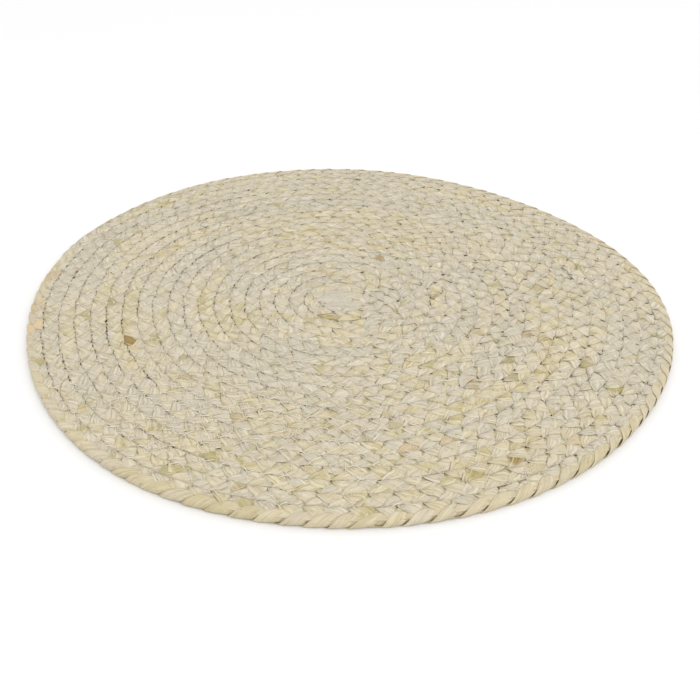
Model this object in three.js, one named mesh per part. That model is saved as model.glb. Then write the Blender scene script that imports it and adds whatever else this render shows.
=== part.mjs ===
// Round placemat: one flat braid of dried leaf strips, wound in a spiral and sewn edge to edge.
// Millimetres, +Z up, the flat underside on z = 0, the mat's box centred on the Z axis.
import * as THREE from 'three';

// The braid and its coil
const braidWidth = 9.2; // seam to seam, also the growth of the coil in one turn
const braidHeight = 5.5;
const endRadius = 196; // outer edge of the last turn, if it kept its width up to its end
const coreRadius = 4.6; // where the innermost seam begins
const endAngle = 160; // degrees anticlockwise from +X, where the braid's tip is tucked in
const taperAngle = 45; // degrees over which the last turn narrows to its tip
const coreShift = new THREE.Vector2(-3.0, 1.9); // the first turns lie off the mat's centre
const lobes = [ // hand-wound unevenness: rises of the rim above a true spiral, with degrees from +X
  { count: 2, rise: 1.2, towards: -6 },
  { count: 3, rise: 1.85, towards: 12 },
  { count: 4, rise: 0.8, towards: -9 },
  { count: 5, rise: 1.05, towards: 13 },
];

// Relief of the upper face: a valley along each seam, between flat-topped ribs
const seamDepth = 1.3;
const coreSeamDepth = 0.45; // the first turns are pressed flatter
const coreReach = 36; // radius at which the seams have their full depth
const heartRadius = 2.8; // the middle of the first bend, off the coil's own centre
const crestFrom = 0.24; // share of the braid's width where a rib's flat top begins
const crestTo = 0.76;

// Rim of the last turn, from the rib's flat top down to the underside
const rimLumps = 105; // leaf strips that wrap over the outer edge in one turn
const stationsPerLump = 3;
const firstStrip = 1 / 3; // share of a strip that lies before the tip
const lumpDepth = 1.3; // how far the rim draws in between two strips
const lumpSag = 0.5; // how far the rib's top drops between two strips
const rimProfile = [ // how far each row lies in from the edge, its height, and its share of the lumps
  { inset: 0.75, height: 4.3, lumpShare: 1 },
  { inset: 0, height: 2.6, lumpShare: 1 },
  { inset: 1.5, height: 0, lumpShare: 0.5 },
];
const tipInset = 1.6; // the tip ends on the shoulder of the turn below it
const tipHeight = 4.9;

// Facets: the farthest that a straight step leaves a round seam
const chordError = 0.2;

const fullTurn = 2 * Math.PI;
const mix = THREE.MathUtils.lerp;
const startPhi = fullTurn * (1 + coreRadius / braidWidth);
const endPhi = fullTurn * endRadius / braidWidth;
const rimPhi = endPhi - fullTurn;
const taperPhi = THREE.MathUtils.degToRad(taperAngle);
const turnOffset = THREE.MathUtils.degToRad(endAngle) - endPhi;

// 0 along the coil, rising to 1 at the tip of the last turn
function taper(phi) {
  return THREE.MathUtils.smoothstep(phi, endPhi - taperPhi, endPhi);
}

// Outer edge of the braid, phi radians along the coil
function edgeRadius(phi) {
  return braidWidth * (phi / fullTurn - taper(phi));
}

// 1 on a strip that wraps over the rim, 0 between two strips
function lump(phi) {
  const strips = (phi - rimPhi) / fullTurn * rimLumps + firstStrip;
  return Math.abs(Math.sin(Math.PI * strips));
}

const positions = [];
const triangles = [];

// How far the rim lies outside a true spiral at an angle
function unevenness(angle) {
  return lobes.reduce((sum, { count, rise, towards }) => {
    return sum + rise * Math.cos(count * (angle - THREE.MathUtils.degToRad(towards)));
  }, 0);
}

function addPoint(phi, radius, height) {
  const angle = phi + turnOffset;
  const outward = radius / endRadius;
  const reach = radius + unevenness(angle) * outward ** 2;
  const x = reach * Math.cos(angle) + coreShift.x * (1 - outward);
  const y = reach * Math.sin(angle) + coreShift.y * (1 - outward);
  positions.push(x, y, height);
  return { phi, index: positions.length / 3 - 1 };
}

function addTriangle(a, b, c) {
  if (a.index !== b.index && b.index !== c.index && c.index !== a.index) {
    triangles.push(a.index, b.index, c.index);
  }
}

// Angles from one end of a stretch of the coil to the other, closer together where it bends more
function seamStations(from, to) {
  const steps = [0];
  let phi = from;
  while (phi < to) {
    const step = Math.sqrt(8 * chordError / edgeRadius(phi - Math.PI));
    phi += step;
    steps.push(steps.at(-1) + step);
  }
  return steps.map((step) => from + (to - from) * step / steps.at(-1));
}

function rimStations() {
  const count = rimLumps * stationsPerLump;
  return Array.from({ length: count + 1 }, (_, i) => rimPhi + fullTurn * i / count);
}

// Faces between two lines that both run anticlockwise, the second one outside the first
function zip(inner, outer, outerLead = 0) {
  let i = 0;
  let j = 0;
  while (i < inner.length - 1 || j < outer.length - 1) {
    const nextInner = inner[i + 1]?.phi ?? Infinity;
    const nextOuter = (outer[j + 1]?.phi ?? Infinity) - outerLead;
    if (nextInner <= nextOuter) {
      addTriangle(inner[i], outer[j], inner[i + 1]);
      i += 1;
    } else {
      addTriangle(inner[i], outer[j], outer[j + 1]);
      j += 1;
    }
  }
}

const tipPoint = addPoint(endPhi, edgeRadius(endPhi) - tipInset, tipHeight);

// One line along the whole coil at a share of the braid's width, meeting the others in the tip
function coilLine(share, stations, heightAt) {
  const line = stations.slice(0, -1).map((phi) => {
    const radius = mix(edgeRadius(phi - fullTurn), edgeRadius(phi), share) - tipInset * taper(phi);
    return addPoint(phi, radius, mix(heightAt({ phi, radius }), tipHeight, taper(phi)));
  });
  return [...line, tipPoint];
}

function seamHeight({ radius }) {
  const depth = mix(coreSeamDepth, seamDepth, THREE.MathUtils.smoothstep(radius, 0, coreReach));
  return braidHeight - depth;
}

function crestHeight({ phi }) {
  return phi > rimPhi ? braidHeight - lumpSag * (1 - lump(phi)) : braidHeight;
}

const firstTurn = seamStations(startPhi, startPhi + fullTurn);
const middleTurns = seamStations(startPhi + fullTurn, rimPhi);
const lastTurn = seamStations(rimPhi, endPhi);
const coilStations = [...firstTurn, ...middleTurns.slice(1), ...lastTurn.slice(1)];
const crestStations = [...firstTurn, ...middleTurns.slice(1), ...rimStations().slice(1)];
const seam = coilLine(0, coilStations, seamHeight);
const innerCrest = coilLine(crestFrom, coilStations, () => braidHeight);
const outerCrest = coilLine(crestTo, crestStations, crestHeight);

// Ribs: up from each seam, across the flat top, and down to the seam of the next turn
const beforeRim = firstTurn.length + middleTurns.length - 1;
zip(seam, innerCrest);
zip(innerCrest, outerCrest);
zip(outerCrest.slice(0, beforeRim), seam.slice(firstTurn.length - 1), fullTurn);

// Heart of the coil, inside the innermost seam
const heart = addPoint(startPhi - fullTurn / 4, heartRadius, braidHeight - coreSeamDepth / 2);
const heartLine = [...seam.slice(0, firstTurn.length), outerCrest[0], innerCrest[0], seam[0]];
for (let i = 0; i < heartLine.length - 1; i += 1) {
  addTriangle(heart, heartLine[i], heartLine[i + 1]);
}

// Rounded, lumpy rim, one closed line for each row of the profile
const rimLines = rimProfile.map(({ inset, height, lumpShare }) => {
  const line = rimStations().slice(0, -1).map((phi) => {
    const drawnIn = inset + lumpDepth * lumpShare * (1 - lump(phi));
    return addPoint(phi, edgeRadius(phi) - drawnIn, height);
  });
  return [...line, { phi: endPhi, index: line[0].index }];
});
addTriangle(outerCrest[beforeRim - 1], tipPoint, rimLines[0][0]);
zip(outerCrest.slice(beforeRim - 1), rimLines[0]);
for (let i = 0; i < rimLines.length - 1; i += 1) {
  zip(rimLines[i], rimLines[i + 1]);
}

// Flat underside
const underside = addPoint(rimPhi, 0, 0);
const footLine = rimLines.at(-1);
for (let i = 0; i < footLine.length - 1; i += 1) {
  addTriangle(footLine[i], underside, footLine[i + 1]);
}

const coilGeometry = new THREE.BufferGeometry();
coilGeometry.setAttribute('position', new THREE.Float32BufferAttribute(positions, 3));
coilGeometry.setIndex(triangles);
coilGeometry.computeBoundingBox();
const boxCentre = coilGeometry.boundingBox.getCenter(new THREE.Vector3());
coilGeometry.translate(-boxCentre.x, -boxCentre.y, 0);
coilGeometry.computeVertexNormals();

const huskMaterial = new THREE.MeshStandardMaterial({ color: 0xd6cab0, roughness: 0.85, metalness: 0 });
const braidCoil = new THREE.Mesh(coilGeometry, huskMaterial);
braidCoil.name = 'braid_coil';

const placemat = new THREE.Group();
placemat.add(braidCoil);

export default placemat;
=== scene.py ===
# Round placemat: three husk strands plaited flat, coiled and sewn edge to edge
import math

import bpy
import numpy as np
from mathutils import Matrix, Vector


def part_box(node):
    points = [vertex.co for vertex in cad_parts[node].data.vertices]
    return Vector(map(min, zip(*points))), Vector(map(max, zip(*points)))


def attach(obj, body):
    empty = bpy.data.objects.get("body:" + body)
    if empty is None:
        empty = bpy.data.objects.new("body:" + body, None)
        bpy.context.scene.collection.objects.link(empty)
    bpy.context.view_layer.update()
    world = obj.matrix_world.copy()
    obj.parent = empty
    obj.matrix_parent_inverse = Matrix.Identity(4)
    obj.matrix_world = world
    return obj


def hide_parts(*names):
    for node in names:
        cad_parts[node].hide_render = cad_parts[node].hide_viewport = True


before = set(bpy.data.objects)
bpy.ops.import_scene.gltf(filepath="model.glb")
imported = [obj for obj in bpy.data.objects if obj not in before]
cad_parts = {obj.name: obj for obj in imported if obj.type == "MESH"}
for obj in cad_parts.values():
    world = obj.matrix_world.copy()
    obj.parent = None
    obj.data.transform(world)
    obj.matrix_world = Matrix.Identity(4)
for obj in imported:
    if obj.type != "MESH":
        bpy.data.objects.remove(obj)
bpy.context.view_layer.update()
rng = np.random.default_rng(41)
mm = 0.001
fullTurn = 2 * math.pi
print("frame loaded:", sorted(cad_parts))


# The coil that the braid follows, in millimetres and degrees
coil = {
    "braidWidth": 9.2,          # seam to seam
    "startTurns": 0.55,         # where the braid starts, in turns of the spiral
    "endRadius": 196.0,         # outer edge of the last turn, if it kept its width
    "endAngle": 160.0,          # where the tip is tucked in
    "taperAngle": 45.0,         # the last stretch narrows over this angle
    "coreShift": (-3.0, 1.9),   # the first turns lie off the mat's middle
    "lobes": ((2, 1.2, -6), (3, 1.85, 12), (4, 0.8, -9), (5, 1.05, 13)),    # count, rise, towards
    "outlineSteps": 720,
    "tableSteps": 60001,
}
endPhi = fullTurn * coil["endRadius"] / coil["braidWidth"]
rimPhi = endPhi - fullTurn
startPhi = coil["startTurns"] * fullTurn
turnOffset = math.radians(coil["endAngle"]) - endPhi


def smooth(x):
    x = np.clip(x, 0.0, 1.0)
    return x * x * (3 - 2 * x)


def mix(a, b, share):
    return a + (b - a) * share


def unit(vectors):
    return vectors / np.linalg.norm(vectors, axis=1)[:, None]


def taper(phi):
    length = math.radians(coil["taperAngle"])
    return smooth((phi - endPhi + length) / length)


def edgeRadius(phi):
    return coil["braidWidth"] * (phi / fullTurn - taper(phi))


def coilPoint(phi, radius):
    angle = phi + turnOffset
    outward = radius / coil["endRadius"]
    reach = radius.copy()
    for count, rise, towards in coil["lobes"]:
        reach += rise * np.cos(count * (angle - math.radians(towards))) * outward ** 2
    x = reach * np.cos(angle) + coil["coreShift"][0] * (1 - outward)
    y = reach * np.sin(angle) + coil["coreShift"][1] * (1 - outward)
    return x, y


# The mat's outline sits in the middle of the solid's box
boxLow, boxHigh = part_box("braid_coil")
outlinePhi = np.linspace(rimPhi, endPhi, coil["outlineSteps"])
outlineX, outlineY = coilPoint(outlinePhi, edgeRadius(outlinePhi))
coilMiddle = (
    (boxLow.x + boxHigh.x) / 2 / mm - (outlineX.min() + outlineX.max()) / 2,
    (boxLow.y + boxHigh.y) / 2 / mm - (outlineY.min() + outlineY.max()) / 2,
)

# Length along the braid's middle line against the angle of the coil
phiTable = np.linspace(startPhi, endPhi, coil["tableSteps"])
middleTable = (edgeRadius(phiTable) + edgeRadius(phiTable - fullTurn)) / 2
stepTable = np.hypot(middleTable[1:] * np.diff(phiTable), np.diff(middleTable))
alongTable = np.concatenate([[0], np.cumsum(stepTable)])
braidLength = alongTable[-1]
print("braid length: %.2f m" % (braidLength * mm))


def phiAt(along):
    return np.interp(along, alongTable, phiTable)


def alongAt(phi):
    return np.interp(phi, phiTable, alongTable)


spareKnots = 4      # past the end of the braid


def between(knots, at):
    # a smooth line through knots that lie one apart
    left = at.astype(int)
    share = smooth(at - left)
    return knots[left] * (1 - share) + knots[left + 1] * share


def wander(along, spacing, size):
    # a smooth random walk along the braid
    knots = rng.normal(0, size, int(braidLength / spacing) + spareKnots)
    return between(knots, np.clip(along, 0, braidLength) / spacing)


# How the braid lies on the coil, in millimetres
lay = {
    "middle": 2.75,         # height of the braid's middle
    "floor": 0.0,
    "halfHeight": 2.6,      # from the middle to the pressed faces
    "press": 0.85,          # height at which the strips start to be pressed flat
    "corePress": 0.6,       # and in the first turns
    "pressHardness": 5,
    "core": (7.0, 15.0),    # radii between which the flatter first turns end
    "halfWidth": 4.79,      # from the middle to the sewn edges, which press into the next turn
    "squeeze": 3.05,        # reach at which the strips start to be squeezed sideways
    "squeezeHardness": 8,
    "rimHalfWidth": 3.7,    # from the middle to the outer edge, under the strips of the rim
    "rimDrop": 0.28,        # share of their height that the strands lose there
    "rimFade": 2.0,         # distance from the middle over which this sets in
    "rimAngle": 0.2,        # and angle of the coil, in radians
    "tipHeight": 0.86,      # share of its height that the tip keeps
}


def wrapOnCoil(along, across, height):
    # from the straight braid, in millimetres, to the coil, in metres
    phi = phiAt(along)
    inner, outer = edgeRadius(phi - fullTurn), edgeRadius(phi)
    narrow = (outer - inner) / coil["braidWidth"]
    x, y = coilPoint(phi, (inner + outer) / 2 + across * narrow)
    z = np.maximum(lay["middle"] + height * mix(lay["tipHeight"], 1, narrow), lay["floor"])
    return np.stack([x + coilMiddle[0], y + coilMiddle[1], z], axis=-1) * mm


def lastShare(along):
    return smooth((phiAt(along) - rimPhi) / lay["rimAngle"])


def coreShare(along):
    radius = np.interp(along, alongTable, middleTable)
    start, end = lay["core"]
    return 1 - smooth((radius - start) / (end - start))


def pressed(share, hardness):
    # strips that stand out further than the rest are pressed into one face
    return share / (1 + np.abs(share) ** hardness) ** (1 / hardness)


# The seams between the turns, in millimetres
seams = {
    "stray": 0.42,          # how far they leave a true spiral
    "strayOver": 5.0,       # distance from one stray to the next
    "overlap": 0.04,        # added to the braid's half width where the turns are sewn closest together
    "tightTowards": -8.0,   # the side of the mat where they are, in degrees from +X
    "tightSpread": 0.6,     # the lower, the more of the mat is tight
    "tightShare": 0.8,      # share of the holes that is drawn shut there
    "holeDepth": (0.15, 1.0),
    "holeWidth": 0.8,
    "holeSpacing": 3.6,
    "holeFade": 3,          # how soon a hole ends towards the middle of the braid
    "stretch": 9,           # holes after which a seam may open or close
    "stretchDepth": (0.1, 1.3),
    "noSeam": 9.0,          # distance that stands for no seam nearby
}
seamKnots = rng.normal(0, seams["stray"], int(braidLength / seams["strayOver"]) + spareKnots)
holeCount = int(braidLength / seams["holeSpacing"]) + spareKnots
holeDepths = rng.uniform(*seams["holeDepth"], holeCount)
stretchEnds = np.arange(0, holeCount + seams["stretch"], seams["stretch"])
stretchDepths = rng.uniform(*seams["stretchDepth"], len(stretchEnds))
holeDepths *= np.interp(np.arange(holeCount), stretchEnds, stretchDepths)


def seamShift(phi):
    # the same for the turns on both sides of a seam
    return between(seamKnots, alongAt(phi) / seams["strayOver"])


def tightness(phi):
    angle = phi + turnOffset - math.radians(seams["tightTowards"])
    return (0.5 + 0.5 * np.cos(angle)) ** seams["tightSpread"]


def openness(phi):
    return 1 - seams["tightShare"] * tightness(phi)


def stitchHole(phi):
    # the thread draws the strips of both turns apart at each stitch
    at = alongAt(phi) / seams["holeSpacing"]
    nearest = np.round(at).astype(int)
    away = (at - nearest) * seams["holeSpacing"]
    return holeDepths[nearest] * np.exp(-(away / seams["holeWidth"]) ** 2) * openness(phi)


# The three strands, in millimetres
# pace, sway, bob, roll and swell are unevenness: over what distance along the braid, and how much
plait = {
    "strands": 3,
    "period": 33.6,         # along the braid for a strand to cross over and back
    "pace": (60, 0.08),
    "reach": 2.95,          # sideways swing of a strand's middle
    "kink": -0.12,          # how straight it goes from side to side
    "sway": (9, 0.25),
    "rise": 1.5,
    "dive": 2.6,            # how sharply a strip goes under the others
    "bob": (8, 0.16),
    "roll": (8, 0.09),
    "stripWidth": 8.2,
    "swell": (8, 0.13),
    "gather": 0.2,          # share of its width that a strip loses in a seam
    "stripThickness": 1.2,
    "crown": 0.02,          # how strongly a strip bows over what lies under it
    "edgeCrown": 0.06,      # and where it turns over the braid's edge
    "edgeTurn": 3.0,        # how soon the bow changes sides
    "fold": 1.9,            # how sharply a strip turns over the edge
    "girth": 1.1,           # flat width of a strip, with its bow and edges, against its own
    "step": 1.5,
}
# Each strand is made of husks that follow one another: their length, unevenness and tones
husks = {"length": (25, 110), "width": 0.1, "thickness": 0.12, "tone": (4.0, 5.6)}
# Section of a strip: place across its width, and share of its half thickness
stripSection = np.array([
    (-1.00, 0.00), (-0.93, 0.66), (-0.62, 0.95), (0.00, 1.00), (0.62, 0.95), (0.93, 0.66),
    (1.00, 0.00), (0.93, -0.66), (0.62, -0.95), (0.00, -1.00), (-0.62, -0.95), (-0.93, -0.66),
])
stripSides = len(stripSection)
sectionAcross, sectionFace = stripSection[None, :, 0], stripSection[None, :, 1]


def makeHusks(along):
    count = int(braidLength / husks["length"][0]) + spareKnots
    joints = np.cumsum(rng.uniform(*husks["length"], count)) - husks["length"][1]
    which = np.searchsorted(joints, along)
    width = rng.normal(1.0, husks["width"], count + 1)[which]
    thick = rng.normal(1.0, husks["thickness"], count + 1)[which]
    tone = rng.beta(*husks["tone"], count + 1)[which]
    return width, thick, tone


def plaitStrip(index, along, phase):
    # one strand as a flat strip, before it is pressed and sewn
    turn = phase * fullTurn + index * fullTurn / plait["strands"]
    width, thick, tone = makeHusks(along)
    across = plait["reach"] * (np.sin(turn) - plait["kink"] * np.sin(3 * turn)) / (1 + plait["kink"])
    across += wander(along, *plait["sway"])
    rise = plait["rise"] * np.tanh(plait["dive"] * np.sin(2 * turn)) / math.tanh(plait["dive"])
    height = wander(along, *plait["bob"]) - rise
    lean = -math.pi / 2 * np.sin(math.pi / 2 * np.clip(plait["fold"] * np.cos(turn), -1, 1))
    middle = np.stack([along, across, height], axis=1)
    forward = unit(np.gradient(middle, axis=0))
    normal = np.stack([np.zeros_like(lean), np.cos(lean), np.sin(lean)], axis=1)
    normal = unit(normal - forward * (forward * normal).sum(1)[:, None])
    side = np.cross(forward, normal)
    roll = (np.cos(turn) ** 2 * wander(along, *plait["roll"]))[:, None]
    rolledSide = side * np.cos(roll) + normal * np.sin(roll)
    rolledNormal = normal * np.cos(roll) - side * np.sin(roll)
    halfWidth = plait["stripWidth"] / 2 * width * (1 + wander(along, *plait["swell"]))
    halfWidth *= 1 - plait["gather"] * np.sin(turn) ** 8
    halfThick = plait["stripThickness"] / 2 * thick
    bow = -np.clip(plait["edgeTurn"] * np.sin(turn), -1, 1)
    bow *= mix(plait["crown"], plait["edgeCrown"], np.sin(turn) ** 4)
    sideways = sectionAcross * halfWidth[:, None]
    outwards = sectionFace * halfThick[:, None] + bow[:, None] * sideways ** 2
    points = middle[:, None] + rolledSide[:, None] * sideways[..., None]
    return points + rolledNormal[:, None] * outwards[..., None], tone


def layStrip(strip, along):
    # presses a strip flat, squeezes it between the seams and opens the needle holes
    phi, lastTurn = phiAt(along), lastShare(along)
    core = coreShare(along)[:, None]
    rim = lastTurn[:, None] * smooth(strip[..., 1] / lay["rimFade"])
    halfWidth = mix(lay["halfWidth"], lay["rimHalfWidth"], rim)
    halfWidth = halfWidth + seams["overlap"] * tightness(phi)[:, None] * (1 - rim)
    across = halfWidth * pressed(strip[..., 1] / lay["squeeze"], lay["squeezeHardness"])
    press = mix(lay["press"], lay["corePress"], core)
    height = lay["halfHeight"] * pressed(strip[..., 2] / press, lay["pressHardness"])
    height *= 1 - lay["rimDrop"] * rim
    # how far each point lies from the nearest seam, and where along that seam
    onInside = across < 0
    unsewn = np.where(onInside, (phi - fullTurn < startPhi)[:, None], lastTurn[:, None] > 0)
    fromSeam = (halfWidth - np.abs(across)) / openness(phi)[:, None]
    fromSeam = np.where(unsewn, seams["noSeam"], fromSeam)
    seamPlace = np.where(onInside, alongAt(phi - fullTurn)[:, None], along[:, None])
    share = (across / lay["halfWidth"] + 1) / 2
    inner, outer = seamShift(phi - fullTurn), seamShift(phi) * (1 - lastTurn)
    across += mix(inner[:, None], outer[:, None], share)
    across += stitchHole(phi - fullTurn)[:, None] * (1 - share) ** seams["holeFade"]
    across -= (stitchHole(phi) * (1 - lastTurn))[:, None] * share ** seams["holeFade"]
    return np.stack([strip[..., 0], across, height], axis=-1), fromSeam, seamPlace


# What the husk material reads from each point
huskValues = ("Along", "Across", "Tone", "Depth", "Mark", "Tint", "Core", "Rim", "Seam", "Stitch")
# Where along the material's patterns the strips of each kind start, so that no two look the same
patternStart = {
    "strand": 1000,
    "bed": 4000,
    "start": 5000,
    "startStrip": 100,
    "wrap": 8000,
    "wrapStrip": 40,
}


def pointValues(count, **given):
    # what isn't given is 0, and no seam is near
    values = {"Seam": seams["noSeam"], **given}
    return {key: np.zeros(count) + values.get(key, 0.0) for key in huskValues}


def newTubes():
    return {"points": [], "faces": [], "values": [], "count": 0}


def addTube(tubes, points, sides, values=None):
    # quads between following rings of points, with both ends closed
    first, rings = tubes["count"], len(points) // sides
    ring = np.arange(rings - 1)[:, None] * sides
    side = np.arange(sides)[None, :]
    after = (side + 1) % sides
    quads = np.stack([ring + side, ring + after, ring + sides + after, ring + sides + side], axis=-1)
    last = first + (rings - 1) * sides
    tubes["faces"] += (quads.reshape(-1, 4) + first).tolist()
    tubes["faces"] += [list(range(first + sides - 1, first - 1, -1)), list(range(last, last + sides))]
    tubes["points"].append(points)
    tubes["count"] += len(points)
    if values:
        tubes["values"].append(values)


def threadPoints(path, radius, sides):
    # rings of points round a path
    forward = unit(np.gradient(path, axis=0))
    side = unit(np.cross(forward, (0, 0, 1)))
    up = np.cross(side, forward)
    angle = np.arange(sides) * fullTurn / sides
    ring = np.cos(angle)[None, :, None] * side[:, None] + np.sin(angle)[None, :, None] * up[:, None]
    return (path[:, None] + ring * np.reshape(radius, (-1, 1, 1))).reshape(-1, 3)


def meshPiece(name, tubes, material):
    mesh = bpy.data.meshes.new(name)
    mesh.from_pydata(np.concatenate(tubes["points"]).tolist(), [], tubes["faces"])
    mesh.polygons.foreach_set("use_smooth", np.ones(len(mesh.polygons), dtype=bool))
    if tubes["values"]:
        for key in huskValues:
            value = np.concatenate([values[key] for values in tubes["values"]])
            layer = mesh.attributes.new("husk" + key, "FLOAT", "POINT")
            layer.data.foreach_set("value", value.astype(np.float32))
    mesh.materials.append(material)
    mesh.update()
    piece = bpy.data.objects.new(name, mesh)
    bpy.context.scene.collection.objects.link(piece)
    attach(piece, "root")
    return piece


# Marks on single husks: place on the mat and length in millimetres, strength, tint
# The tint runs from olive at 0 over brown at 0.5 to a peach tan at 1
marks = (
    (-126, -53, 15, 1.0, 0.50), (83, -142, 13, 1.0, 0.40), (104, -30, 13, 0.9, 0.55),
    (109, -39, 10, 0.5, 0.30), (90, -55, 10, 0.8, 0.25), (73, -27, 10, 0.7, 0.15),
    (114, 21, 9, 0.7, 0.10), (149, 49, 9, 0.8, 0.05), (-14, -22, 12, 1.0, 0.25),
    (18, 54, 7, 0.8, 0.40), (-8, -124, 13, 0.8, 0.15), (-92, -126, 9, 0.7, 0.05),
    (-66, -151, 10, 0.7, 0.10), (-59, -115, 10, 0.5, 0.30), (-85, -160, 9, 0.7, 0.05),
    (-45, -181, 9, 0.7, 0.05), (-156, 65, 9, 0.7, 0.10), (-142, -12, 10, 0.7, 0.20),
    (-153, -25, 9, 0.7, 0.05), (-120, 59, 10, 0.6, 0.30), (-112, -50, 9, 0.6, 0.10),
    (-90, -86, 10, 0.6, 0.20), (-167, -77, 9, 0.7, 0.05), (-182, -37, 14, 0.8, 1.00),
    (-182, 20, 13, 0.6, 0.80), (-182, -17, 12, 0.6, 0.80), (25, -122, 9, 0.6, 0.10),
    (53, -128, 15, 0.5, 0.80), (31, -138, 17, 0.5, 0.80), (62, -157, 8, 0.8, 0.10),
    (85, -60, 9, 0.7, 0.30), (92, -72, 12, 0.6, 0.30), (67, -86, 8, 0.7, 0.50),
    (131, -62, 10, 0.8, 0.20), (143, -85, 7, 0.9, 0.05), (109, -131, 13, 0.5, 0.80),
)
markFit = {
    "onTop": 2.0,           # height of a strip's middle, from the braid's, when it is on top
    "detour": 9.0,          # how much farther off such a strip may be
    "fade": 2.2,            # how sharply a mark ends
    "rimTint": 0.7,         # marks over this tint also colour the strips of the rim
    "rimReach": 7.0,        # that lie this near
}
olive = {"count": 420, "length": (2, 6), "strength": (0.15, 0.7), "tint": (0.0, 0.3)}


def makeMarks(along, strips):
    # each mark lies on the strip nearest to its place that is on top there
    strength = np.zeros((len(strips), len(along)))
    tint = np.zeros_like(strength)
    middles = [strip.mean(axis=1) for strip in strips]
    places = [wrapOnCoil(*middle.T) / mm for middle in middles]
    chosen = []
    for x, y, length, force, hue in marks:
        away = [np.hypot(place[:, 0] - x, place[:, 1] - y) for place in places]
        away = [a + markFit["detour"] * (m[:, 2] < markFit["onTop"]) for a, m in zip(away, middles)]
        k = int(np.argmin([a.min() for a in away]))
        chosen.append((k, along[away[k].argmin()], length, force, hue))
    for _ in range(olive["count"]):
        k, at = rng.integers(len(strips)), rng.uniform(0, braidLength)
        chosen.append((k, at, *(rng.uniform(*olive[key]) for key in ("length", "strength", "tint"))))
    for k, at, length, force, hue in chosen:
        force = force * smooth(markFit["fade"] * (1 - np.abs(along - at) / (length / 2)))
        stronger = force > strength[k]
        strength[k][stronger] = force[stronger]
        tint[k][stronger] = hue
    return strength, tint


# Crumpled husk inside the braid, which shows only in the gaps between the strips, in millimetres
bed = {
    "halfHeight": 2.28,
    "halfWidth": 3.5,
    "rimHalfWidth": 3.3,
    "slope": 0.9,
    "step": 4.5,
    # its look is darker and more olive than the strips: painted shade where it shows deep in the gaps
    "look": {"Tone": 0.6, "Depth": 0.5, "Mark": 0.3, "Tint": 0.3},
}


def addBed(tubes, start, end):
    along = np.linspace(start, end, int((end - start) / bed["step"]) + 2)
    outer = mix(bed["halfWidth"], bed["rimHalfWidth"], lastShare(along))
    inner = np.full_like(outer, -bed["halfWidth"])
    high = np.full_like(outer, bed["halfHeight"])
    slope = bed["slope"]
    across = np.stack([inner, inner, outer - slope, outer, outer, outer - slope], axis=1)
    height = np.stack([-high, high, high, high - slope, slope - high, -high], axis=1)
    sides = across.shape[1]
    ring = np.repeat(along, sides)
    values = pointValues(len(ring), Along=ring + patternStart["bed"], **bed["look"])
    addTube(tubes, wrapOnCoil(ring, across.ravel(), height.ravel()), sides, values)


# Strips that turn over the outer edge of the last turn, in millimetres and degrees
wraps = {
    "phase": 0.75,          # share of a strand's period at which it turns over that edge
    "from": 0.02,           # share of the rim's form at which they start
    "endGap": 8.0,          # and how far before the tip they end
    "middle": 0.6,          # the rounded edge that they follow: its middle from the braid's
    "halfWidth": 3.35,
    "halfHeight": 2.15,
    "foot": 1.14,           # it is deeper below than above by this factor
    "squareness": 3.2,
    "reach": 105.0,         # how far a strip goes round it
    "lead": 13.0,           # and along the braid meanwhile
    "breadth": 12.2,
    "endBreadth": 0.7,      # share of it at the hidden ends
    "layer": 0.42,          # how far one side lies over the next strip
    "crown": 0.2,
    "thickness": 0.5,
    "spread": 0.13,         # how much the strips differ
    "shuffle": 6.0,         # how far that moves them along the braid
    "tone": (2.2, 3.0),
    "patternReach": 8,
    "contourSteps": 400,
    "steps": 19,
}


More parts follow.
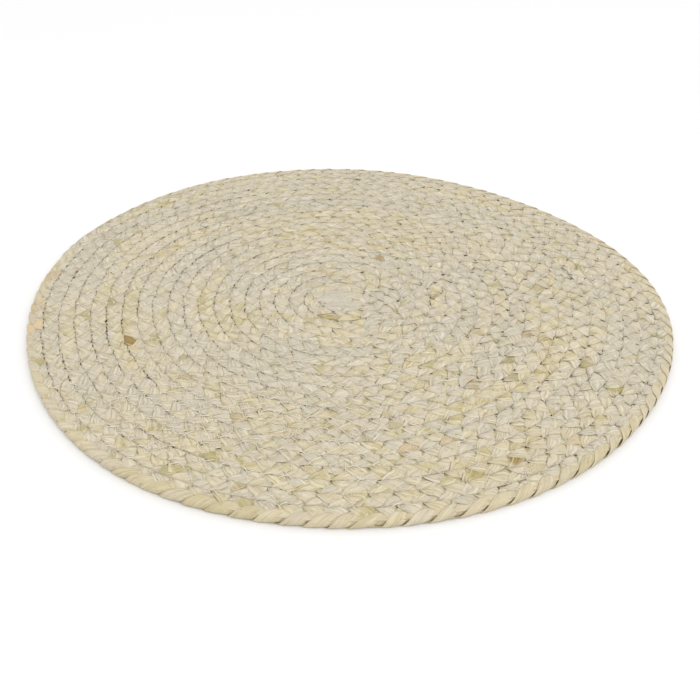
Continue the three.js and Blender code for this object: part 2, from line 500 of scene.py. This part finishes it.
def addWraps(tubes, along, phase):
    strands = plait["strands"]
    crossings = (np.arange(int(strands * phase[-1])) + wraps["phase"]) / strands
    crossings = np.interp(crossings, phase, along)
    onRim = (lastShare(crossings) > wraps["from"]) & (crossings < braidLength - wraps["endGap"])
    crossings = crossings[onRim]
    # the rounded edge in even steps
    angle = np.radians(np.linspace(-wraps["reach"], wraps["reach"], wraps["contourSteps"]))
    power = 2 / wraps["squareness"]
    outer = np.sign(np.cos(angle)) * np.abs(np.cos(angle)) ** power
    upper = np.sign(np.sin(angle)) * np.abs(np.sin(angle)) ** power
    steps = np.hypot(wraps["halfWidth"] * np.gradient(outer), wraps["halfHeight"] * np.gradient(upper))
    run = np.cumsum(steps)
    share = np.linspace(-1, 1, wraps["steps"])[:, None]
    even = run[0] + (run[-1] - run[0]) * (share + 1) / 2
    outer, upper = np.interp(even, run, outer), np.interp(even, run, upper)
    for k, at in enumerate(crossings):
        uneven = rng.normal(1, wraps["spread"], 4)
        raised = wraps["crown"] * (1 - sectionAcross ** 2) + wraps["thickness"] / 2 * sectionFace
        raised = raised - wraps["layer"] * uneven[0] * sectionAcross
        across = wraps["middle"] + (wraps["halfWidth"] + raised) * outer
        height = (wraps["halfHeight"] + raised) * np.where(upper < 0, wraps["foot"], 1) * upper
        breadth = wraps["breadth"] / 2 * uneven[1] * (1 - (1 - wraps["endBreadth"]) * share ** 4)
        place = at + wraps["shuffle"] * (uneven[2] - 1) + wraps["lead"] / 2 * uneven[3] * share
        place = place + breadth * sectionAcross
        points = wrapOnCoil(place.ravel(), across.ravel(), height.ravel())
        middle = points.mean(axis=0) / mm
        near = [mark for mark in marks if mark[4] > markFit["rimTint"]]
        near = [m for m in near if math.hypot(m[0] - middle[0], m[1] - middle[1]) < markFit["rimReach"]]
        strength, tint = near[0][3:] if near else (0.0, 0.0)
        pattern = patternStart["wrap"] + patternStart["wrapStrip"] * k
        pattern = pattern + wraps["patternReach"] * share.ravel()
        addTube(tubes, points, stripSides, pointValues(
            len(points),
            Along=np.repeat(pattern, stripSides),
            Across=np.tile(stripSection[:, 0], len(share)),
            Tone=rng.beta(*wraps["tone"]),
            Depth=1,
            Mark=strength,
            Tint=tint,
            Rim=1,
        ))
    print("rim", len(crossings), "strips")


braidNames = ("braid_inner", "braid_second", "braid_third", "braid_fourth", "braid_rim")
rimLook = (0.5, 2.5)        # the colour of the rim sets in between these distances from the braid's middle


def makeBraid(material):
    along = np.arange(0, braidLength, plait["step"])
    pace = plait["period"] * (1 + wander(along, *plait["pace"]))
    phase = np.cumsum(plait["step"] / pace)
    strips, looks = [], []
    for k in range(plait["strands"]):
        strip, tone = plaitStrip(k, along, phase)
        strip, fromSeam, seamPlace = layStrip(strip, along)
        strips.append(strip)
        looks.append((tone, fromSeam, seamPlace))
    strength, tint = makeMarks(along, strips)
    cuts = np.linspace(0, len(along) - 1, len(braidNames) + 1).astype(int)
    for name, cutFrom, cutTo in zip(braidNames, cuts[:-1], cuts[1:]):
        stations = slice(cutFrom, cutTo + 1)
        core, last = coreShare(along[stations]), lastShare(along[stations])
        tubes, run = newTubes(), 0.0
        for k, (tone, fromSeam, seamPlace) in enumerate(looks):
            part = strips[k][stations]
            flat = part.reshape(-1, 3)
            rim = smooth((flat[:, 1] - rimLook[0]) / (rimLook[1] - rimLook[0]))
            addTube(tubes, wrapOnCoil(*flat.T), stripSides, pointValues(
                len(flat),
                Along=np.repeat(along[stations], stripSides) + patternStart["strand"] * k,
                Across=np.tile(stripSection[:, 0], len(part)),
                Tone=np.repeat(tone[stations], stripSides),
                Depth=np.abs(flat[:, 2]) / lay["halfHeight"],
                Mark=np.repeat(strength[k][stations], stripSides),
                Tint=np.repeat(tint[k][stations], stripSides),
                Core=np.repeat(core, stripSides),
                Rim=np.repeat(last, stripSides) * rim,
                Seam=fromSeam[stations].ravel(),
                Stitch=seamPlace[stations].ravel(),
            ))
            run += np.linalg.norm(np.diff(part.mean(axis=1), axis=0), axis=1).sum()
        addBed(tubes, along[cutFrom], along[cutTo])
        if name == braidNames[-1]:
            addWraps(tubes, along, phase)
        piece = meshPiece(name, tubes, material)
        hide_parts("braid_coil")
        print(name, len(tubes["faces"]), "faces, strands of %.2f m" % (run / plait["strands"] * mm))


# Strips folded flat over the start of the braid: place from the coil's middle, direction in degrees,
# length and width in millimetres, tone
startStrips = (
    (-1, 6, 14, 23, 9, 0.15),
    (2, -6, -6, 22, 8.5, 0.3),
    (-3, 0, 4, 27, 9, 0.1),
    (8, 4, -24, 13, 6.5, 0.75),
)
startLay = {
    "lift": 0.1,            # of the lowest strip over the braid, and half of it more for each next one
    "droop": 1.5,           # how far the ends go down
    "narrowing": 0.3,       # share of its width that a strip loses at its ends
    "halfThickness": 0.35,
    "crown": 0.018,
    "steps": 17,
}


def makeStart(material):
    share = np.linspace(-1, 1, startLay["steps"])[:, None]
    tubes = newTubes()
    for k, (x, y, heading, length, width, tone) in enumerate(startStrips):
        cos, sin = math.cos(math.radians(heading)), math.sin(math.radians(heading))
        along = share * length / 2
        sideways = sectionAcross * width / 2 * (1 - startLay["narrowing"] * share ** 4)
        high = lay["middle"] + lay["halfHeight"] + startLay["lift"] * (1 + k / 2)
        high = high - startLay["droop"] * share ** 4 - startLay["crown"] * sideways ** 2
        high = high + sectionFace * startLay["halfThickness"]
        east = coil["coreShift"][0] + coilMiddle[0] + x + along * cos - sideways * sin
        north = coil["coreShift"][1] + coilMiddle[1] + y + along * sin + sideways * cos
        points = np.stack([east, north, high], axis=-1).reshape(-1, 3) * mm
        pattern = np.repeat(along.ravel(), stripSides) + patternStart["start"]
        addTube(tubes, points, stripSides, pointValues(
            len(points),
            Along=pattern + patternStart["startStrip"] * k,
            Across=np.tile(stripSection[:, 0], len(share)),
            Tone=tone,
            Depth=1,
            Core=1.0 - tone,
        ))
    piece = meshPiece("braid_start", tubes, material)
    print("braid_start", len(startStrips), "strips")


# Sewing: stitches of pale thread that cross the seams, in millimetres and degrees
sewing = {
    "start": 41.15,         # along the braid, so that the thread lies between the holes
    "endAngle": 30.0,       # how far before the last turn it ends
    "stitch": 7.2,
    "cross": 0.5,
    "width": 0.8,
    "radius": 0.22,
    "side": 1.8,            # height of the thread beside a seam, from the braid's middle
    "bridge": 2.6,          # and where it crosses the seam
    "sink": 0.6,            # how much lower it lies where the turns are closest together
    "uneven": 0.12,
    "sides": 4,
}
# Pale zigzags of thread in front on the left: the thread really zigzags there, and its pale colour is
# painted glint, as the clear thread shows only where it catches the light
zigzag = {
    "middle": (-60, -122),  # the place where most of it shows
    "spread": (58, 30),
    "share": 0.85,
    "halfWidth": 1.5,
    "height": 2.8,
    "dip": 0.5,
    "radius": 0.24,
    "uneven": 0.15,
    "sides": 3,
    "steps": 7,
}


def makeSewing(material):
    tubes = newTubes()
    seamAcross = coil["braidWidth"] / 2
    last = alongAt(rimPhi - math.radians(sewing["endAngle"]))
    count = int((last - sewing["start"]) / sewing["stitch"])
    half, cross = sewing["stitch"] / 2, sewing["cross"]
    stitch = np.array([0, cross / 2, cross, half, half + cross / 2, half + cross])
    swing = np.tile([1, 0, -1, -1, 0, 1], count)
    at = (sewing["start"] + np.arange(count)[:, None] * sewing["stitch"] + stitch).ravel()
    phi = phiAt(at)
    swerve = swing * sewing["width"] * rng.normal(1, sewing["uneven"], len(at))
    height = np.where(swing == 0, sewing["bridge"], sewing["side"])
    height = height + rng.normal(0, sewing["uneven"], len(at))
    height -= sewing["sink"] * tightness(phi)
    path = wrapOnCoil(at, seamAcross + seamShift(phi) + swerve, height)
    addTube(tubes, threadPoints(path, sewing["radius"] * mm, sewing["sides"]), sewing["sides"])
    # in front on the left the clear thread zigzags over the seams and catches the light: these pale
    # threads are painted glints of it
    spacing = seams["holeSpacing"]
    at = sewing["start"] + np.arange(int((last - sewing["start"]) / spacing)) * spacing
    seam = wrapOnCoil(at, np.full(len(at), seamAcross), np.zeros(len(at))) / mm
    away = (seam[:, :2] - zigzag["middle"]) / zigzag["spread"]
    shown = rng.uniform(size=len(at)) < zigzag["share"] * np.exp(-(away ** 2).sum(axis=1) / 2)
    share = np.linspace(-1, 1, zigzag["steps"])
    height = zigzag["height"] - zigzag["dip"] * share ** 4
    for k in np.flatnonzero(shown):
        place = at[k] + share * spacing / 2
        swerve = (-1) ** k * zigzag["halfWidth"] * share * rng.normal(1, zigzag["uneven"])
        path = wrapOnCoil(place, seamAcross + seamShift(phiAt(place)) + swerve, height)
        addTube(tubes, threadPoints(path, zigzag["radius"] * mm, zigzag["sides"]), zigzag["sides"])
    meshPiece("sewing_thread", tubes, material)
    print("sewing_thread", count, "stitches,", shown.sum(), "in plain sight")


# Loose fibres on the mat, most of them in front on the left, in millimetres
fibres = {
    "count": 800,
    "length": (3, 13),
    "radius": 0.15,
    "bend": 0.5,
    "sink": 0.1,            # how far the ends lie under the top of the braid
    "lift": (0.1, 0.9),
    "thicket": ((-45, -118), (50, 26)),     # middle and spread of the place with most of them
    "thicketShare": 0.4,
    "spread": 180.0,        # radius over which the others lie
    "limit": 187.0,         # no fibre reaches farther out
    "endRadius": 0.05,      # share of the radius at the ends
    "sides": 3,
    "steps": 9,
}


def makeFibres(material):
    tubes = newTubes()
    share = np.linspace(0, 1, fibres["steps"])
    radius = fibres["radius"] * mm * (1 + fibres["endRadius"] - np.abs(2 * share - 1) ** 3)
    for _ in range(fibres["count"]):
        if rng.uniform() < fibres["thicketShare"]:
            x, y = rng.normal(*fibres["thicket"])
        else:
            distance, angle = fibres["spread"] * math.sqrt(rng.uniform()), rng.uniform(0, fullTurn)
            x, y = distance * math.cos(angle), distance * math.sin(angle)
        stride = rng.uniform(*fibres["length"]) / (fibres["steps"] - 1)
        heading = rng.uniform(0, fullTurn)
        angle = heading + rng.normal(0, fibres["bend"]) * (share - 0.5)
        lift = rng.uniform(*fibres["lift"]) * np.sin(math.pi * share)
        path = np.stack([
            x + stride * (np.cumsum(np.cos(angle)) - np.cos(angle).sum() / 2),
            y + stride * (np.cumsum(np.sin(angle)) - np.sin(angle).sum() / 2),
            lay["middle"] + lay["halfHeight"] - fibres["sink"] + lift,
        ], axis=1) * mm
        if np.hypot(path[:, 0], path[:, 1]).max() <= fibres["limit"] * mm:
            addTube(tubes, threadPoints(path, radius, fibres["sides"]), fibres["sides"])
    meshPiece("loose_fibres", tubes, material)
    print("loose_fibres", len(tubes["points"]))


# Husk: colours are linear, and the tints run from the greyest to the darkest
husk = {
    "tints": (
        (0.00, (0.552, 0.505, 0.406)), (0.25, (0.571, 0.515, 0.409)), (0.45, (0.598, 0.529, 0.413)),
        (0.65, (0.618, 0.543, 0.391)), (0.88, (0.604, 0.520, 0.337)), (1.00, (0.535, 0.457, 0.261)),
    ),
    "marks": ((0.0, (0.38, 0.33, 0.11)), (0.5, (0.31, 0.20, 0.065)), (1.0, (0.66, 0.49, 0.28))),
    "shade": (0.29, 0.235, 0.075),
    # olive colour of the painted shade in what lies deep
    "deep": (0.50, 0.42, 0.17),
    # near black: the painted shade of the needle holes
    "holeShade": (0.055, 0.042, 0.014),
    # colour of the painted sheen in pale streaks along the husk
    "pale": (0.78, 0.73, 0.60),
    "core": (0.558, 0.517, 0.428),
    # tint of the rim's strips, partly painted shade against the light the rim catches
    "rim": (0.57, 0.49, 0.33),
    "roughness": 0.62,
    "specular": 0.3,
    "bumpStrength": 0.6,
    "bumpDepth": 0.0005,
    "toneLayers": 47.0,     # how far apart husks of different tones lie in the patterns
    "turnScale": 1.5,       # of the pattern that makes some turns paler than others
    "turnReach": 30.0,      # and how fast it changes from turn to turn, per metre
    "holeReach": 0.6,       # of a needle hole from the seam, in millimetres
}
# Patterns on the husk: per millimetre along it, per half of its breadth, layer, detail
huskPatterns = {
    "grain": (0.012, 13.0, 0.0, 3),
    "band": (0.01, 4.6, 41.0, 1),
    "fold": (0.005, 2.2, 9.0, 0),
    "cloud": (0.11, 0.8, 17.0, 2),
    "patch": (0.25, 2.2, 31.0, 2),
    "fleck": (0.3, 3.5, 83.0, 1),
    "stripe": (0.05, 6.0, 71.0, 1),
    "speck": (1.1, 3.4, 53.0, 0),
}
# Where each feature starts to show, and how sharply
huskSteps = {
    "front": (-0.05, 8.0), "streak": (0.52, 0.6), "gleam": (0.52, 2.4), "fibre": (0.5, 0.8),
    "fleck": (0.54, 2.2), "edge": (0.82, 6.0), "low": (0.62, 1.3), "holeShade": (0.95, 2.0),
    "stripe": (0.26, 4.5), "speck": (0.8, 14.0), "crease": (0.5, 0.04),
}
# How far a feature moves a husk along its tints, or how much of its own colour it gives
huskShares = {
    "cloudShift": 1.3, "turnShift": 1.8, "rimShift": 0.16, "frontShift": 0.15,
    "core": 0.8, "rim": 0.5, "rimCalm": 0.35, "crease": 0.2, "edge": 0.3, "low": 0.8,
    "holeShade": 1.7, "speck": 0.8, "veins": 0.8,
}


def makeHusk():
    material = bpy.data.materials.new("husk")
    material.use_nodes = True
    nodes, links = material.node_tree.nodes, material.node_tree.links
    shader = nodes["Principled BSDF"]
    shader.inputs["Roughness"].default_value = husk["roughness"]
    shader.inputs["Specular IOR Level"].default_value = husk["specular"]

    def attribute(name):
        node = nodes.new("ShaderNodeAttribute")
        node.attribute_name = "husk" + name
        return node.outputs["Fac"]

    def fill(sockets, values):
        for socket, value in zip(sockets, values):
            if isinstance(value, bpy.types.NodeSocket):
                links.new(value, socket)
            else:
                socket.default_value = value

    def maths(operation, *values, clamp=False):
        node = nodes.new("ShaderNodeMath")
        node.operation = operation
        node.use_clamp = clamp
        fill(node.inputs, values)
        return node.outputs[0]

    def vectorMaths(operation, *values):
        node = nodes.new("ShaderNodeVectorMath")
        node.operation = operation
        fill(node.inputs, values)
        return node.outputs["Value" if operation == "LENGTH" else "Vector"]

    def combine(x, y, z):
        node = nodes.new("ShaderNodeCombineXYZ")
        fill(node.inputs, (x, y, z))
        return node.outputs[0]

    def noise(place, scale, detail):
        node = nodes.new("ShaderNodeTexNoise")
        node.inputs["Scale"].default_value = scale
        node.inputs["Detail"].default_value = detail
        links.new(place, node.inputs["Vector"])
        return node.outputs["Fac"]

    def pattern(name):
        stretch, width, layer, detail = huskPatterns[name]
        x, y = maths("MULTIPLY", along, stretch), maths("MULTIPLY", across, width)
        return noise(combine(x, y, maths("MULTIPLY_ADD", tone, husk["toneLayers"], layer)), 1.0, detail)

    def above(value, name):
        start, slope = huskSteps[name]
        return maths("MULTIPLY", maths("SUBTRACT", value, start), slope, clamp=True)

    def below(value, name):
        start, slope = huskSteps[name]
        return maths("MULTIPLY", maths("SUBTRACT", start, value), slope, clamp=True)

    def scaled(value, name):
        return maths("MULTIPLY", value, huskShares[name])

    def shifted(value, name):
        return scaled(maths("SUBTRACT", value, 0.5), name)

    def ramp(value, tints):
        node = nodes.new("ShaderNodeValToRGB")
        elements = node.color_ramp.elements
        elements[0].position, elements[1].position = tints[0][0], tints[-1][0]
        for position, colour in tints[1:-1]:
            elements.new(position)
        for element, (position, colour) in zip(elements, tints):
            element.color = (*colour, 1)
        links.new(value, node.inputs[0])
        return node.outputs[0]

    def tinted(colour, share, tint):
        # part of the colour gives way to another one
        node = nodes.new("ShaderNodeMix")
        node.data_type = "RGBA"
        other = (*husk[tint], 1) if isinstance(tint, str) else tint
        fill((node.inputs[0], node.inputs[6], node.inputs[7]), (share, colour, other))
        return node.outputs[2]

    inputs = [attribute(name) for name in huskValues]
    along, across, tone, depth, mark, tint, core, rim, seam, stitch = inputs
    calm = maths("SUBTRACT", 1.0, scaled(rim, "rimCalm"))
    grain, band, patch = pattern("grain"), pattern("band"), pattern("patch")

    # each husk has its own tint, with clouds in it, and some turns are paler over part of their way round
    place = nodes.new("ShaderNodeTexCoord").outputs["Object"]
    reach = maths("MULTIPLY", vectorMaths("LENGTH", place), husk["turnReach"])
    turns = vectorMaths("ADD", vectorMaths("NORMALIZE", place), combine(0.0, 0.0, reach))
    turns = shifted(noise(turns, husk["turnScale"], 2), "turnShift")
    shift = maths("MULTIPLY", maths("ADD", shifted(pattern("cloud"), "cloudShift"), turns), calm)
    shift = maths("ADD", shift, scaled(rim, "rimShift"))
    # the husks are yellower towards the front of the mat
    split = nodes.new("ShaderNodeSeparateXYZ")
    links.new(place, split.inputs[0])
    shift = maths("ADD", shift, scaled(below(split.outputs["Y"], "front"), "frontShift"))
    colour = ramp(maths("ADD", tone, shift, clamp=True), husk["tints"])
    colour = tinted(colour, scaled(core, "core"), "core")
    # the rim's strips mix with a darker, yellower tint: partly their own colour, partly painted shade that
    # evens out the extra light the rim catches
    colour = tinted(colour, scaled(rim, "rim"), "rim")
    # streaks along the husk: dark ones, and pale ones that are painted sheen
    colour = tinted(colour, maths("MULTIPLY", below(grain, "streak"), calm), "shade")
    colour = tinted(colour, maths("MULTIPLY", above(band, "gleam"), calm), "pale")
    colour = tinted(colour, maths("MULTIPLY", below(band, "fibre"), calm), "shade")
    colour = tinted(colour, maths("MULTIPLY", above(pattern("fleck"), "fleck"), calm), "shade")
    # painted shade: folds, the strips' edges and what lies deep are darker, where shade falls between the
    # strips
    middle, breadth = huskSteps["crease"]
    crease = maths("ABSOLUTE", maths("SUBTRACT", pattern("fold"), middle))
    crease = maths("SUBTRACT", 1.0, maths("DIVIDE", crease, breadth), clamp=True)
    crease = maths("MULTIPLY", crease, calm)
    colour = tinted(colour, scaled(crease, "crease"), "shade")
    edge = above(maths("ABSOLUTE", across), "edge")
    colour = tinted(colour, maths("MULTIPLY", edge, scaled(patch, "edge"), clamp=True), "shade")
    colour = tinted(colour, scaled(below(depth, "low"), "low"), "deep")
    # painted shade in the needle holes along the seams, near black at each stitch
    near = maths("SUBTRACT", 1.0, maths("DIVIDE", seam, husk["holeReach"]), clamp=True)
    holeShade = below(maths("PINGPONG", stitch, seams["holeSpacing"] / 2), "holeShade")
    holeShade = maths("MULTIPLY", holeShade, maths("MULTIPLY", patch, huskShares["holeShade"], clamp=True))
    colour = tinted(colour, maths("MULTIPLY", near, holeShade, clamp=True), "holeShade")
    # stained ends, in stripes, and dark specks
    stain = maths("MULTIPLY", mark, above(pattern("stripe"), "stripe"))
    colour = tinted(colour, stain, ramp(tint, husk["marks"]))
    colour = tinted(colour, scaled(above(pattern("speck"), "speck"), "speck"), "shade")
    links.new(colour, shader.inputs["Base Color"])

    bump = nodes.new("ShaderNodeBump")
    bump.inputs["Strength"].default_value = husk["bumpStrength"]
    bump.inputs["Distance"].default_value = husk["bumpDepth"]
    veins = maths("MULTIPLY", scaled(grain, "veins"), calm)
    links.new(maths("SUBTRACT", veins, crease), bump.inputs["Height"])
    links.new(bump.outputs[0], shader.inputs["Normal"])
    return material


# Thread and fibres: linear colours between which they vary, and how fast, per metre
# the pale colour also paints the glints of the zigzag thread
thread = {"pale": (0.92, 0.89, 0.80), "dark": (0.618, 0.543, 0.391), "scale": 220.0, "roughness": 0.75}


def makeThread():
    material = bpy.data.materials.new("thread")
    material.use_nodes = True
    nodes, links = material.node_tree.nodes, material.node_tree.links
    shader = nodes["Principled BSDF"]
    shader.inputs["Roughness"].default_value = thread["roughness"]
    shader.inputs["Specular IOR Level"].default_value = husk["specular"]
    place = nodes.new("ShaderNodeTexCoord")
    noise = nodes.new("ShaderNodeTexNoise")
    noise.inputs["Scale"].default_value = thread["scale"]
    links.new(place.outputs["Object"], noise.inputs["Vector"])
    blend = nodes.new("ShaderNodeMix")
    blend.data_type = "RGBA"
    blend.inputs[6].default_value = (*thread["pale"], 1)
    blend.inputs[7].default_value = (*thread["dark"], 1)
    links.new(noise.outputs["Fac"], blend.inputs[0])
    links.new(blend.outputs[2], shader.inputs["Base Color"])
    return material


# Camera: millimetres and degrees
camera = {
    "target": (-0.15, -54.94, 5.5),
    "distance": 561.1,
    "elevation": 34.39,
    "roll": 1.6,            # the right of the picture hangs lower
    "lens": 51.43,
    "sensor": 36.0,
    "clip": (0.01, 20.0),   # metres
}


def makeCamera():
    data = bpy.data.cameras.new("camera")
    data.lens = camera["lens"]
    data.sensor_width = camera["sensor"]
    data.clip_start, data.clip_end = camera["clip"]
    obj = bpy.data.objects.new("camera", data)
    bpy.context.scene.collection.objects.link(obj)
    up = math.radians(camera["elevation"])
    back = Vector((0, -math.cos(up), math.sin(up)))
    obj.location = Vector(camera["target"]) * mm + back * camera["distance"] * mm
    roll = Matrix.Rotation(math.radians(camera["roll"]), 3, "Z")
    obj.rotation_euler = (back.to_track_quat("Z", "Y").to_matrix() @ roll).to_euler()
    bpy.context.scene.camera = obj


# Studio: a pale floor, an even sky and one wide soft light, in metres
studio = {
    "sky": 1.06,
    "floorSize": 12.0,
    "floorDrop": 0.0001,    # below the mat's underside
    "floorColour": (0.85, 0.85, 0.85),
    "floorRoughness": 0.9,
    "keyPower": 10.8,
    "keySize": 1.5,
    "keyPlace": (0.525, -1.125, 1.65),
}


def makeStudio():
    scene = bpy.context.scene
    scene.view_settings.view_transform = "Standard"
    world = bpy.data.worlds.new("studio")
    scene.world = world
    world.use_nodes = True
    sky = world.node_tree.nodes["Background"]
    sky.inputs["Color"].default_value = (1, 1, 1, 1)
    sky.inputs["Strength"].default_value = studio["sky"]
    half = studio["floorSize"] / 2
    corners = [(-half, -half, 0), (half, -half, 0), (half, half, 0), (-half, half, 0)]
    mesh = bpy.data.meshes.new("floor")
    mesh.from_pydata(corners, [], [(0, 1, 2, 3)])
    paint = bpy.data.materials.new("floorPaint")
    paint.use_nodes = True
    shader = paint.node_tree.nodes["Principled BSDF"]
    shader.inputs["Base Color"].default_value = (*studio["floorColour"], 1)
    shader.inputs["Roughness"].default_value = studio["floorRoughness"]
    mesh.materials.append(paint)
    floor = bpy.data.objects.new("floor", mesh)
    floor.location.z = -studio["floorDrop"]
    scene.collection.objects.link(floor)
    light = bpy.data.lights.new("key", "AREA")
    light.energy = studio["keyPower"]
    light.size = studio["keySize"]
    key = bpy.data.objects.new("key", light)
    key.location = studio["keyPlace"]
    key.rotation_euler = Vector(studio["keyPlace"]).to_track_quat("Z", "Y").to_euler()
    scene.collection.objects.link(key)


makeCamera()
makeStudio()
print("camera and studio placed")
huskFinish = makeHusk()
makeBraid(huskFinish)
makeStart(huskFinish)
threadFinish = makeThread()
makeSewing(threadFinish)
makeFibres(threadFinish)
